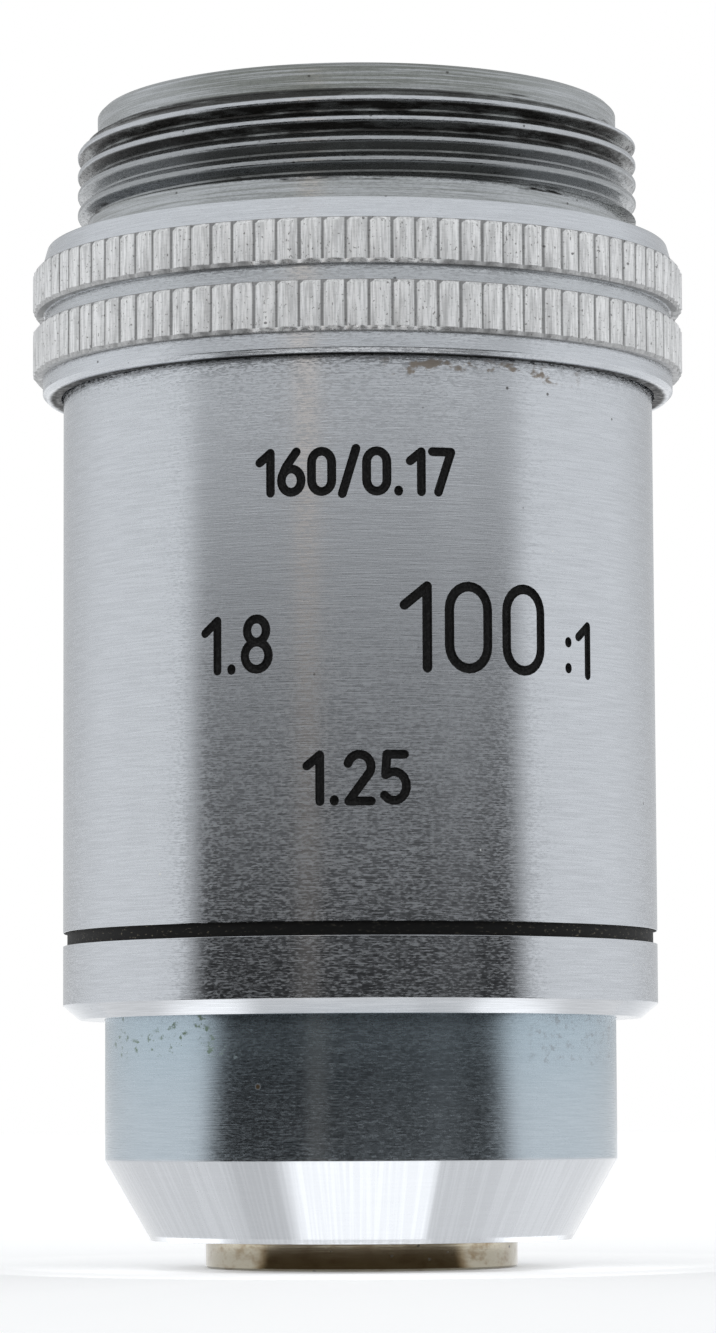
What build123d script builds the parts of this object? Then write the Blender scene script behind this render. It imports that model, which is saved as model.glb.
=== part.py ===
from build123d import *
import os
from math import copysign, cos, pi, radians, sin, sqrt, tan

# Immersion objective of high power with a sprung nose. It stands on its front face, thread up.
# The optical axis is Z, and the origin is the middle of the front face. Sizes are millimetres.
# The thread is the standard size: walls, steps and fits build the other diameters up from it.

# Front cell, the tip that meets the oil
tip_projection = 0.98
tip_edge_radius = 0.12
cell_flange_height = 1.8
cell_flange_lip = 0.5
cell_flange_step = 1.13

# Nose, the part that slides
nose_cone_length = 2.84
nose_cone_angle = 30.0
nose_exposed = 4.98
nose_floor = 2.42
nose_wall = 1.605
nose_flange_height = 1.4
nose_travel = 2.0

# Sleeve around the nose
stop_step = 0.37
sleeve_wall = 1.1
sleeve_length = 22.33
sleeve_chamfer_height = 0.5
sleeve_chamfer_width = 0.6
guide_land = 2.4
ring_groove_height = 2.61
ring_groove_width = 0.475
ring_groove_depth = 0.15
sleeve_insert = 0.5
spigot_step = 0.425
spigot_length = 2.57

# Mount: collar, knurl, shoulder, thread and pilot, from the sleeve up
collar_step = 0.75
collar_height = 0.71
collar_bevel = 0.2
collar_gap = 0.08
knurl_rise = 0.375
knurl_teeth = 92
knurl_base_width = 0.58
knurl_crest_width = 0.38
knurl_depth = 0.15
knurl_crown = 0.03
knurl_end_chamfer = 0.14
knurl_blank_margin = 0.02
lower_knurl_width = 1.74
upper_knurl_width = 1.57
knurl_groove_width = 0.57
knurl_groove_depth = 0.45
shoulder_bevel_height = 0.78
shoulder_bevel_step = 0.22
thread_d = 20.24
thread_length = 3.05
thread_chamfer = 0.3
shoulder_width = 1.1
shoulder_relief_width = 0.13
shoulder_relief_depth = 0.15
neck_step = 0.37
neck_length = 1.0
pilot_step = 0.72
pilot_length = 0.99
pilot_chamfer = 0.15
pilot_wall = 1.28

# Barrel, bush, screw and spring
barrel_wall = 1.3
barrel_setback = 0.5
bush_wall = 0.57
bush_length = 14.5
bush_shank = 2.9
bush_flange_height = 1.2
bush_flange_gap = 0.2
spigot_end_gap = 0.3
screw_d = 1.0
screw_head_d = 1.4
screw_height = 3.0
screw_driver_slot = 0.25
slot_end_gap = 0.2
spring_wire_d = 0.8
spring_wire_sides = 8
spring_turns = 7
spring_seat_gap = 0.02

# Lenses: rims as shares of the tip's or a cell's radius, then the radius of each face in rims,
# from the bottom up and positive with its centre above the face
front_lens_share = 0.216
front_lens_drop = 0.25
front_lens_recess = 0.05
front_seat_height = 0.3
meniscus_share = 0.492
meniscus_curve_ratios = (-2.93, -1.1)
meniscus_clearance = 0.1
meniscus_edge = 0.6
meniscus_ledge = 0.43
meniscus_ring_width = 0.38
meniscus_ring_height = 0.8
doublet_share = 0.566
doublet_curve_ratios = (2.57, -1.57, -4.0)
crown_edge = 0.28
doublet_flint_thickness = 1.2
triplet_share = 0.663
triplet_curve_ratios = (6.1, 1.463, -1.463, -7.3)
rear_share = 0.728
rear_curve_ratios = (8.9, 1.667, -1.667, 13.3)
flint_thickness = 0.85
fluorite_edge = 0.3
lens_ledge = 0.4
lens_setback = 0.6
lens_headroom = 0.5

# Rings of the lens stack
spacer_wall = 1.0
spacer_lower_height = 1.5
spacer_upper_height = 2.5
lock_ring_height = 1.6
lock_ring_wall = 1.6
lock_slot_width = 1.0
lock_slot_depth = 0.5
rear_stop_gap = 1.2
rear_stop_height = 0.8
rear_stop_wall = 1.98

# Clearances, all radial but the cement
running_fit = 0.03
thread_fit = 0.02
seat_fit = 0.05
lens_fit = 0.02
cement = 0.02

# Radii, built up from the thread
thread_r = thread_d / 2
neck_r = thread_r - neck_step
pilot_r = thread_r - pilot_step
shoulder_r = thread_r + shoulder_width
rear_bore_r = pilot_r - pilot_wall
bush_r = rear_bore_r - thread_fit
bush_bore_r = bush_r - bush_wall
barrel_r = bush_bore_r - running_fit
barrel_bore_r = barrel_r - barrel_wall
cell_r = barrel_bore_r - lens_fit
cell_flange_r = cell_r + cell_flange_lip
tip_r = cell_flange_r - cell_flange_step
nose_r = barrel_r + thread_fit + nose_wall
nose_face_r = nose_r - nose_cone_length * tan(radians(nose_cone_angle))
guide_r = nose_r + running_fit
sleeve_bore_r = guide_r + stop_step
sleeve_r = sleeve_bore_r + sleeve_wall
spigot_r = sleeve_r - spigot_step
collar_r = sleeve_r + collar_step
knurl_r = collar_r + knurl_rise
front_lens_radius = tip_r * front_lens_share
meniscus_rim = tip_r * meniscus_share
doublet_rim = cell_r * doublet_share
triplet_rim = cell_r * triplet_share
rear_rim = cell_r * rear_share

# Heights above the front face
nose_face_z = tip_projection
cone_top_z = nose_face_z + nose_cone_length
sleeve_z = cone_top_z + nose_exposed
stop_z = sleeve_z + guide_land
flange_top_z = stop_z + nose_flange_height
cell_seat_z = nose_face_z + nose_floor
barrel_z = cell_seat_z + cell_flange_height
collar_z = sleeve_z + sleeve_length
sleeve_seat_z = collar_z + sleeve_insert
spigot_top_z = sleeve_seat_z + spigot_length
ceiling_z = spigot_top_z + spigot_end_gap
lower_knurl_z = collar_z + collar_height
knurl_groove_z = lower_knurl_z + lower_knurl_width
upper_knurl_z = knurl_groove_z + knurl_groove_width
knurl_top_z = upper_knurl_z + upper_knurl_width
shoulder_z = knurl_top_z + shoulder_bevel_height
thread_z = shoulder_z + neck_length
pilot_z = thread_z + thread_length
top_z = pilot_z + pilot_length
barrel_top_z = shoulder_z - barrel_setback
bush_z = ceiling_z - bush_length
bush_flange_z = ceiling_z - bush_flange_height
screw_z = bush_z + screw_height


def turned(*corners):
    """Solid of revolution about the axis, from (radius, height) corners."""
    outline = Polyline(*[(radius, 0, height) for radius, height in corners], close=True)
    return revolve(make_face(outline), Axis.Z)


def ring(inner, outer, low, high):
    """Plain ring between two radii and two heights."""
    return turned((inner, low), (outer, low), (outer, high), (inner, high))


def face_radii(ratios, rim):
    """Radii of a lens's faces, from their sizes in rims."""
    return [ratio * rim for ratio in ratios]


def sag(curve, radius):
    """Height of a spherical face at a radius, above its middle."""
    return curve - copysign(sqrt(curve**2 - radius**2), curve)


def lens(rim, low, low_curve, high, high_curve):
    """Lens with two spherical faces, whose middles lie at the heights low and high."""
    half = rim / 2
    low_edge = (rim, 0, low + sag(low_curve, rim))
    high_edge = (rim, 0, high + sag(high_curve, rim))
    lower = ThreePointArc((0, 0, low), (half, 0, low + sag(low_curve, half)), low_edge)
    upper = ThreePointArc(high_edge, (half, 0, high + sag(high_curve, half)), (0, 0, high))
    section = make_face([lower, Line(low_edge, high_edge), upper, Line((0, 0, high), (0, 0, low))])
    return revolve(section, Axis.Z)


def thickness_for_edge(edge, low_curve, high_curve, rim):
    """Middle thickness of a lens with the given thickness at its rim."""
    return edge + sag(low_curve, rim) - sag(high_curve, rim)


def cemented(rim, low, curves, thicknesses):
    """Lenses of a cemented group from the bottom up, and the height of its topmost point."""
    lenses = []
    for low_curve, high_curve, thickness in zip(curves, curves[1:], thicknesses):
        high = low + thickness
        lenses.append(lens(rim, low, low_curve, high, high_curve))
        low = high + cement
    return lenses, max(high, high + sag(high_curve, rim))


def lens_cell(rim, base, seat, top):
    """Turned cell with a ledge under the lens and a bore for its rim."""
    ledge_r = rim - lens_ledge
    bore_r = rim + lens_fit
    return turned(
        (ledge_r, base), (cell_r, base), (cell_r, top), (bore_r, top), (bore_r, seat), (ledge_r, seat)
    )


def lens_group(rim, base, curves, thicknesses):
    """Cell that stands at a height, with its cemented lenses: cell, lenses and the cell's top."""
    low = base + lens_setback
    lenses, high = cemented(rim, low, curves, thicknesses)
    seat = low + sag(curves[0], rim - lens_ledge) - cement
    top = high + lens_headroom
    return lens_cell(rim, base, seat, top), lenses, top


def triplet_thicknesses(curves, rim):
    """Flint, fluorite and flint thicknesses of a triplet."""
    fluorite = thickness_for_edge(fluorite_edge, curves[1], curves[2], rim)
    return flint_thickness, fluorite, flint_thickness


def knurl_blank(low, high):
    """Blank of a knurl band, with one flat for each tooth and bevelled ends."""
    bevel = knurl_end_chamfer + knurl_blank_margin
    end_r = knurl_r - knurl_end_chamfer
    full_r = knurl_r + knurl_blank_margin
    flats = []
    for radius, height in ((end_r, low), (full_r, low + bevel), (full_r, high - bevel), (end_r, high)):
        outline = RegularPolygon(radius, knurl_teeth, major_radius=False, rotation=180 / knurl_teeth)
        flats.append(Pos(0, 0, height) * outline)
    return loft(flats, ruled=True)


def knurl_band(low, high):
    """Band of straight knurl: crowned teeth with flat valleys between them."""
    floor_r = knurl_r - knurl_depth
    edge_r = knurl_r - knurl_crown
    base_half = knurl_base_width / 2 / knurl_r
    crest_half = knurl_crest_width / 2 / knurl_r
    tooth = (
        (floor_r, -base_half), (edge_r, -crest_half), (knurl_r, 0), (edge_r, crest_half), (floor_r, base_half)
    )
    corners = []
    for number in range(knurl_teeth):
        middle = 2 * pi * number / knurl_teeth
        for radius, angle in tooth:
            corners.append((radius * cos(middle + angle), radius * sin(middle + angle), low))
    toothed = extrude(make_face(Polyline(*corners, close=True)), high - low, dir=(0, 0, 1))
    return toothed & knurl_blank(low, high)


def make_mount_flange():
    """Thread, shoulder, double knurl and collar, turned from one bar."""
    recess_r = spigot_r + thread_fit
    mouth_r = sleeve_r + collar_gap
    groove_r = knurl_r - knurl_groove_depth
    relief_r = thread_r + shoulder_relief_width
    body = turned(
        (mouth_r, collar_z),
        (collar_r - collar_bevel, collar_z),
        (collar_r, collar_z + collar_bevel),
        (collar_r, lower_knurl_z),
        (groove_r, lower_knurl_z),
        (groove_r, knurl_top_z),
        (shoulder_r + shoulder_bevel_step, knurl_top_z),
        (shoulder_r, shoulder_z),
        (relief_r, shoulder_z),
        (relief_r, shoulder_z - shoulder_relief_depth),
        (neck_r, shoulder_z - shoulder_relief_depth),
        (neck_r, thread_z),
        (thread_r, thread_z),
        (thread_r, pilot_z - thread_chamfer),
        (pilot_r, pilot_z),
        (pilot_r, top_z - pilot_chamfer),
        (pilot_r - pilot_chamfer, top_z),
        (rear_bore_r, top_z),
        (rear_bore_r, ceiling_z),
        (recess_r, ceiling_z),
        (recess_r, sleeve_seat_z),
        (mouth_r, sleeve_seat_z),
    )
    inside = turned((0, lower_knurl_z), (groove_r, lower_knurl_z), (groove_r, knurl_top_z), (0, knurl_top_z))
    for low, high in ((lower_knurl_z, knurl_groove_z), (upper_knurl_z, knurl_top_z)):
        body += knurl_band(low, high) - inside
    return body


def make_outer_sleeve():
    """Sleeve with the guide land for the nose, the ring groove and the spigot that screws into the mount."""
    groove_low = sleeve_z + ring_groove_height
    groove_high = groove_low + ring_groove_width
    groove_r = sleeve_r - ring_groove_depth
    return turned(
        (guide_r, sleeve_z),
        (sleeve_r - sleeve_chamfer_width, sleeve_z),
        (sleeve_r, sleeve_z + sleeve_chamfer_height),
        (sleeve_r, groove_low),
        (groove_r, groove_low),
        (groove_r, groove_high),
        (sleeve_r, groove_high),
        (sleeve_r, sleeve_seat_z),
        (spigot_r, sleeve_seat_z),
        (spigot_r, spigot_top_z),
        (sleeve_bore_r, spigot_top_z),
        (sleeve_bore_r, stop_z),
        (guide_r, stop_z),
    )


def make_nose_barrel():
    """Nose with its cone, the seat of the front cell and the flange that rests on the sleeve's stop."""
    hole_r = tip_r + thread_fit
    seat_r = cell_flange_r + seat_fit
    barrel_thread_r = barrel_r + thread_fit
    return turned(
        (hole_r, nose_face_z),
        (nose_face_r, nose_face_z),
        (nose_r, cone_top_z),
        (nose_r, stop_z),
        (sleeve_bore_r - running_fit, stop_z),
        (sleeve_bore_r - running_fit, flange_top_z),
        (barrel_thread_r, flange_top_z),
        (barrel_thread_r, barrel_z),
        (seat_r, barrel_z),
        (seat_r, cell_seat_z),
        (hole_r, cell_seat_z),
    )


def make_lens_barrel():
    """Tube for the lens cells, with the tapped hole of the guide screw."""
    tube = ring(barrel_bore_r, barrel_r, barrel_z, barrel_top_z)
    return tube - rod(screw_d / 2 + thread_fit, 0, bush_r)


def rod(radius, near, far):
    """Round rod along Y at the guide screw's height, between two distances from the axis."""
    start = Plane(origin=(0, near, screw_z), z_dir=(0, 1, 0))
    return extrude(start * Circle(radius), far - near)


def make_guide_screw():
    """Screw in the barrel's wall, with a round head that runs in the bush's slot."""
    head_top = bush_r - seat_fit
    shank = rod(screw_d / 2, barrel_bore_r, barrel_r)
    head = rod(screw_head_d / 2, barrel_r, head_top)
    cut = Box(screw_head_d, screw_driver_slot, screw_driver_slot)
    return shank + head - Pos(0, head_top, screw_z) * cut


def make_guide_bush():
    """Tube that guides the barrel, with the spring's upper seat, a screwed shank and a slot open below."""
    shank_top = ceiling_z + bush_shank
    flange_r = sleeve_bore_r - bush_flange_gap
    tube = turned(
        (bush_bore_r, bush_z),
        (bush_r, bush_z),
        (bush_r, bush_flange_z),
        (flange_r, bush_flange_z),
        (flange_r, ceiling_z),
        (bush_r, ceiling_z),
        (bush_r, shank_top),
        (bush_bore_r, shank_top),
    )
    slot_half = screw_head_d / 2 + seat_fit
    slot_end_z = screw_z + nose_travel + slot_end_gap
    straight = Pos(0, bush_r, (bush_z + slot_end_z) / 2) * Box(2 * slot_half, bush_r, slot_end_z - bush_z)
    start = Plane(origin=(0, bush_r / 2, slot_end_z), z_dir=(0, 1, 0))
    return tube - straight - extrude(start * Circle(slot_half), bush_r)


def make_return_spring():
    """Coil spring round the bush, from the nose's flange up to the bush's flange, with few-sided wire."""
    wire_r = spring_wire_d / 2
    low = flange_top_z + wire_r + spring_seat_gap
    height = bush_flange_z - wire_r - spring_seat_gap - low
    path = Helix(height / spring_turns, height, (bush_r + sleeve_bore_r) / 2, center=(0, 0, low))
    section = Plane(origin=path @ 0, z_dir=path % 0) * RegularPolygon(wire_r, spring_wire_sides)
    return sweep(section, path, is_frenet=True)


def make_front_lens(middle_z):
    """Front lens, more than half a ball with its flat face down."""
    flat_z = middle_z - front_lens_drop
    flat_r = sqrt(front_lens_radius**2 - front_lens_drop**2)
    flat_edge = (flat_r, 0, flat_z)
    top = (0, 0, middle_z + front_lens_radius)
    ball = ThreePointArc(flat_edge, (front_lens_radius, 0, middle_z), top)
    section = make_face([Line((0, 0, flat_z), flat_edge), ball, Line(top, (0, 0, flat_z))])
    return revolve(section, Axis.Z)


def make_front_group():
    """Front cell, front lens, meniscus lens and the ring that holds it."""
    middle_z = front_lens_recess + front_lens_drop
    lens_bore_r = front_lens_radius + lens_fit
    lens_seat_z = middle_z + front_seat_height
    ledge_z = middle_z + front_lens_radius + meniscus_clearance
    bore_r = meniscus_rim + lens_fit
    cell = turned(
        (lens_bore_r, 0),
        (tip_r, 0),
        (tip_r, cell_seat_z),
        (cell_flange_r, cell_seat_z),
        (cell_flange_r, barrel_z),
        (bore_r, barrel_z),
        (bore_r, ledge_z),
        (bore_r - meniscus_ledge, ledge_z),
        (lens_bore_r, lens_seat_z),
    )
    tip_edge = cell.edges().filter_by(GeomType.CIRCLE).group_by(Axis.Z)[0].sort_by(SortBy.RADIUS)[-1]
    cell = fillet(tip_edge, tip_edge_radius)

    low_curve, high_curve = face_radii(meniscus_curve_ratios, meniscus_rim)
    low = ledge_z - sag(low_curve, meniscus_rim) + cement
    high = low + thickness_for_edge(meniscus_edge, low_curve, high_curve, meniscus_rim)
    ring_inner = meniscus_rim - meniscus_ring_width
    ring_z = high + sag(high_curve, ring_inner) + cement
    return {
        "front_cell": cell,
        "front_lens": make_front_lens(middle_z),
        "meniscus_lens": lens(meniscus_rim, low, low_curve, high, high_curve),
        "meniscus_ring": ring(ring_inner, meniscus_rim, ring_z, ring_z + meniscus_ring_height),
    }


def make_lock_ring(base):
    """Ring that holds the stack of cells, with two slots for a pin key."""
    top = base + lock_ring_height
    plain = ring(cell_r - lock_ring_wall, cell_r, base, top)
    return plain - Pos(0, 0, top) * Box(2 * barrel_r, lock_slot_width, 2 * lock_slot_depth)


def make_lens_stack():
    """Cells, cemented lenses, spacers, lock ring and stop, stacked in the barrel."""
    curves = face_radii(doublet_curve_ratios, doublet_rim)
    crown = thickness_for_edge(crown_edge, curves[0], curves[1], doublet_rim)
    doublet = lens_group(doublet_rim, barrel_z, curves, (crown, doublet_flint_thickness))
    doublet_cell, (doublet_crown, doublet_flint), doublet_top = doublet

    triplet_z = doublet_top + spacer_lower_height
    curves = face_radii(triplet_curve_ratios, triplet_rim)
    triplet = lens_group(triplet_rim, triplet_z, curves, triplet_thicknesses(curves, triplet_rim))
    triplet_cell, (triplet_lower, triplet_middle, triplet_upper), triplet_top = triplet

    rear_z = triplet_top + spacer_upper_height
    curves = face_radii(rear_curve_ratios, rear_rim)
    rear = lens_group(rear_rim, rear_z, curves, triplet_thicknesses(curves, rear_rim))
    rear_cell, (rear_lower, rear_middle, rear_upper), rear_top = rear

    stop_base = rear_top + lock_ring_height + rear_stop_gap
    return {
        "doublet_cell": doublet_cell,
        "doublet_crown": doublet_crown,
        "doublet_flint": doublet_flint,
        "spacer_lower": ring(cell_r - spacer_wall, cell_r, doublet_top, triplet_z),
        "triplet_cell": triplet_cell,
        "triplet_lower_flint": triplet_lower,
        "triplet_fluorite": triplet_middle,
        "triplet_upper_flint": triplet_upper,
        "spacer_upper": ring(cell_r - spacer_wall, cell_r, triplet_top, rear_z),
        "rear_cell": rear_cell,
        "rear_lower_flint": rear_lower,
        "rear_fluorite": rear_middle,
        "rear_upper_flint": rear_upper,
        "lock_ring": make_lock_ring(rear_top),
        "rear_stop": ring(cell_r - rear_stop_wall, cell_r, stop_base, stop_base + rear_stop_height),
    }


def make_parts():
    """Every piece of the objective by its name."""
    return {
        "mount_flange": make_mount_flange(),
        "outer_sleeve": make_outer_sleeve(),
        "guide_bush": make_guide_bush(),
        "return_spring": make_return_spring(),
        "nose_barrel": make_nose_barrel(),
        "lens_barrel": make_lens_barrel(),
        "guide_screw": make_guide_screw(),
        **make_front_group(),
        **make_lens_stack(),
    }


os.makedirs("parts", exist_ok=True)
for name, piece in make_parts().items():
    export_step(piece, f"parts/{name}.step")
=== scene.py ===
import math
import random

import bmesh
import bpy
from mathutils import Matrix, Vector


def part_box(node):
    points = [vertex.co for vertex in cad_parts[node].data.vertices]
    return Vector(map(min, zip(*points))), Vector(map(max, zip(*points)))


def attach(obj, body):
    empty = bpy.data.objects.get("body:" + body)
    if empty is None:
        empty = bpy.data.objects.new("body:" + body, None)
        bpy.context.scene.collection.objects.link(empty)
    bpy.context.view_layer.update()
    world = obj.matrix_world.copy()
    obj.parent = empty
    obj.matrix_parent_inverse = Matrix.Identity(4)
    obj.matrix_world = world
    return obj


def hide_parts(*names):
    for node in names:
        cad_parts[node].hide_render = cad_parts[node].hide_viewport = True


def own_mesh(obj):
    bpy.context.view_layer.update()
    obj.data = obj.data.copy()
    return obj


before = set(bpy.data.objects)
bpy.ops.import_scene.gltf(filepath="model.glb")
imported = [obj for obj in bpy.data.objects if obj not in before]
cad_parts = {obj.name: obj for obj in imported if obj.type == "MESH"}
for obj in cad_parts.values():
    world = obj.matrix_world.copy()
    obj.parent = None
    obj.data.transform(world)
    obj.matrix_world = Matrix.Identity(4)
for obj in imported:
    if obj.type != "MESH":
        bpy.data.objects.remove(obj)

bl_info = {
    "name": "Immersion objective",
    "version": (1, 0, 0),
    "blender": (4, 5, 0),
    "location": "View3D > Sidebar > Objective",
    "description": "Dresses the packed solids of a sprung immersion objective",
    "category": "Object",
}

MM = 0.001
# Width of the eased edges, and the distance within which points are welded
EDGE, WELD = 0.012 * MM, 0.0001 * MM
# A side longer than so many edge widths gets a ring so many edge widths from each end
HOLD_SIDE, HOLD_STEP = 6, 2
# Steps round the axis, then steps in one turn of the thread and of the spring
SLEEVE_STEPS, NOSE_STEPS, TIP_STEPS, CARD_STEPS = 360, 384, 256, 96
THREAD_STEPS, COIL_STEPS = 128, 48
# Cuts across the sleeve's wall, steps to one tooth, sides of the spring's wire, cells of the floor
SLEEVE_CUTS, TOOTH_STEPS, WIRE_SIDES, FLOOR_CELLS = 40, 4, 12, 8
# Edges up to these angles, in degrees, are shaded smooth
SMOOTH, SMOOTH_NOSE, SMOOTH_TIP, SMOOTH_WIRE = 35, 20, 40, 50
WHITE, BLACK = (1, 1, 1, 1), (0, 0, 0, 1)
# Share of a speck's radius that has its full strength, and turn of the highlights on turned metal
SPECK_CORE, LATHE = 0.6, 0.25
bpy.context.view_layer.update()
MOUNT_LOW, MOUNT_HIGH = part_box("mount_flange")
SLEEVE_LOW, SLEEVE_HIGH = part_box("outer_sleeve")
NOSE_LOW, NOSE_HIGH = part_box("nose_barrel")
TIP_LOW, TIP_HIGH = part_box("front_cell")
SPRING_LOW, SPRING_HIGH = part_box("return_spring")


def length(name, description, millimetres):
    """Length property, given in millimetres and kept in metres."""
    return bpy.props.FloatProperty(
        name=name, description=description, default=millimetres * MM, unit="LENGTH", precision=6
    )


def share(name, description, value):
    """Property from 0 to 1."""
    return bpy.props.FloatProperty(
        name=name, description=description, default=value, min=0, max=1, subtype="FACTOR"
    )


def angle(name, description, degrees):
    """Angle property, given in degrees and kept in radians."""
    return bpy.props.FloatProperty(
        name=name, description=description, default=math.radians(degrees), subtype="ANGLE"
    )


def colour(name, description, red, green, blue):
    """Colour property."""
    return bpy.props.FloatVectorProperty(
        name=name, description=description, default=(red, green, blue), min=0, max=1, subtype="COLOR"
    )


class MountSizes(bpy.types.PropertyGroup):
    """Sizes of the mount: collar, double knurl, shoulder, thread and pilot."""

    collar_drop: length("Collar drop", "Knurl's crest down to the collar's rim", 0.375)
    collar_height: length("Collar height", "Height of the plain collar", 0.71)
    collar_bevel: length("Collar bevel", "Bevel on the collar's lower rim", 0.15)
    collar_gap: length("Collar gap", "Gap between the collar and the sleeve", 0.08)
    seat_depth: length("Seat depth", "How far the sleeve goes into the collar", 0.5)
    recess_step: length("Recess step", "Sleeve's rim down to the recess for its spigot", 0.405)
    recess_depth: length("Recess depth", "Height of the recess for the spigot", 2.87)
    lower_knurl: length("Lower knurl", "Width of the lower knurl band", 1.74)
    upper_knurl: length("Upper knurl", "Width of the upper knurl band", 1.57)
    knurl_gap: length("Knurl gap", "Width of the groove between the bands", 0.57)
    knurl_root: length("Groove depth", "Knurl's crest down to the groove's floor", 0.45)
    teeth: bpy.props.IntProperty(name="Teeth", description="Teeth round the knurl", default=92, min=12)
    tooth_base: length("Tooth base", "Width of a tooth at its foot", 0.77)
    tooth_crest: length("Tooth crest", "Width of a tooth at its crest", 0.42)
    tooth_depth: length("Tooth depth", "Height of a tooth", 0.15)
    tooth_crown: length("Tooth crown", "Rise of a tooth's rounded crest", 0.05)
    tooth_bevel: length("Tooth bevel", "Bevel at the ends of a tooth", 0.14)
    shoulder_bevel: length("Shoulder bevel", "Height of the sloped rim under the shoulder", 0.78)
    shoulder_slope: length("Shoulder slope", "How far the sloped rim leans out", 0.22)
    shoulder_width: length("Shoulder width", "Width of the flat shoulder outside the thread", 1.1)
    relief_width: length("Relief width", "Width of the relief ring at the thread's foot", 0.13)
    relief_depth: length("Relief depth", "Depth of the relief ring", 0.15)
    neck_height: length("Neck height", "Plain neck under the thread", 1.0)
    neck_step: length("Neck step", "Thread's crest down to the neck", 0.37)
    thread_radius: length("Thread radius", "Radius at the thread's crest", 10.12)
    thread_length: length("Thread length", "Height of the threaded part", 3.05)
    thread_chamfer: length("Thread chamfer", "Chamfer at the thread's upper end", 0.3)
    thread_pitch: length("Thread pitch", "Rise of the thread in one turn", 0.7056)
    thread_depth: length("Thread depth", "Thread's crest down to its root", 0.36)
    crest_width: length("Thread crest", "Width of the thread's flat crest", 0.07)
    front_crest: length("Front crest", "Highest crest at the front, below the top", 1.42)
    pilot_step: length("Pilot step", "Thread's crest down to the pilot", 0.72)
    pilot_chamfer: length("Pilot chamfer", "Chamfer on the pilot's upper rim", 0.15)
    pilot_wall: length("Pilot wall", "Wall between the pilot and the bore", 1.28)


class SleeveSizes(bpy.types.PropertyGroup):
    """Sizes of the sleeve and of its engraved figures."""

    chamfer_height: length("Chamfer height", "Height of the lower chamfer", 0.5)
    chamfer_width: length("Chamfer width", "Width of the lower chamfer", 0.6)
    groove_height: length("Groove height", "Lower rim up to the black ring", 2.61)
    groove_width: length("Groove width", "Width of the black ring", 0.475)
    groove_depth: length("Groove depth", "Depth of the black ring's groove", 0.15)
    spigot_step: length("Spigot step", "Rim down to the spigot", 0.425)
    spigot_length: length("Spigot length", "Length of the spigot", 2.57)
    wall: length("Wall", "Thickness of the sleeve", 1.1)
    guide_step: length("Guide step", "Bore down to the guide land", 0.37)
    guide_land: length("Guide land", "Height of the land that guides the nose", 2.4)
    tube_base: length("Tube figures' foot", "Height of the upper line of figures", 26.45)
    tube_height: length("Tube figures", "Height of the upper figures", 1.38)
    power_base: length("Power figures' foot", "Height of the middle line of figures", 20.45)
    power_height: length("Power figures", "Height of the large figures", 2.8)
    focus_height: length("Focus figures", "Height of the middle line's other figures", 1.72)
    cone_base: length("Light figures' foot", "Height of the lower line of figures", 15.92)
    cone_height: length("Light figures", "Height of the lower figures", 1.58)
    stroke: length("Stroke", "Width of the engraved strokes", 0.31)


class NoseSizes(bpy.types.PropertyGroup):
    """Sizes of the sprung nose, its tip and its spring."""

    flange_step: length("Flange step", "Flange's rim down to the nose", 0.37)
    flange_height: length("Flange height", "Height of the flange", 1.4)
    cone_height: length("Cone height", "Height of the nose's cone", 2.84)
    cone_angle: angle("Cone angle", "Angle of the cone to the axis", 30)
    floor: length("Floor", "Thickness of the nose's floor", 2.42)
    wall: length("Wall", "Thickness of the nose's wall", 1.605)
    cell_gap: length("Cell gap", "Gap round the front cell's flange", 0.05)
    tip_gap: length("Tip gap", "Gap round the tip", 0.02)
    tip_step: length("Tip step", "Front cell's flange down to the tip", 1.13)
    cell_flange: length("Cell flange", "Height of the front cell's flange", 1.8)
    lens_hole: length("Lens hole", "Radius of the hole for the front lens", 1.219)
    lens_seat: length("Lens seat", "Height of the front lens's seat", 0.6)
    cell_bore: length("Cell bore", "Radius of the front cell's bore", 2.75)
    cell_ledge: length("Cell ledge", "Height of the ledge in the front cell", 1.599)
    ledge_width: length("Ledge width", "Width of that ledge", 0.43)
    tip_rounding: length("Tip rounding", "Rounding of the tip's rim", 0.12)
    wire: length("Wire", "Diameter of the spring's wire", 0.8)
    coils: bpy.props.IntProperty(name="Coils", description="Turns of the spring", default=7, min=2)


class FinishColours(bpy.types.PropertyGroup):
    """Colours and gloss of the finishes."""

    chrome: colour("Chrome", "Satin chrome", 0.545, 0.565, 0.595)
    chrome_gloss: share("Chrome roughness", "Roughness of the satin chrome", 0.25)
    # The knurl's colour is also lightened into painted glints and darkened into painted shade
    knurl: colour("Knurl", "Dulled chrome of the knurl", 0.600, 0.602, 0.604)
    # Also the painted shade on the pilot in front and on the thread's flanks
    dull_and_shade: colour("Dull chrome", "Worn grey metal of the pilot", 0.185, 0.195, 0.182)
    # Also the painted shade in the joint under the collar
    grime_and_shade: colour("Grime", "Old oil and dirt in the thread", 0.012, 0.011, 0.010)
    # Also the painted shade towards the nose's top, under the sleeve
    film_and_shade: colour("Oil film", "Thin film of old oil on the nose", 0.265, 0.388, 0.463)
    stain: colour("Stain", "Brown stain under the collar", 0.16, 0.11, 0.06)
    dust: colour("Dust", "Pale specks of dust", 0.6, 0.6, 0.58)
    verdigris: colour("Verdigris", "Green corrosion on the nose", 0.16, 0.25, 0.14)
    paint: colour("Paint", "Black filling of the figures and ring", 0.004, 0.004, 0.004)
    worn: colour("Worn paint", "Bare metal showing through the ring's paint", 0.17, 0.15, 0.11)
    nickel: colour("Nickel", "Dull nickel of the tip", 0.36, 0.335, 0.27)
    tarnish: colour("Tarnish", "Brown tarnish on the tip", 0.22, 0.17, 0.11)
    brass: colour("Brass", "Turned brass", 0.72, 0.50, 0.22)
    black: colour("Blackened brass", "Blackened inner faces", 0.02, 0.019, 0.018)
    steel: colour("Spring steel", "Wire and screws", 0.40, 0.41, 0.43)


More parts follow.
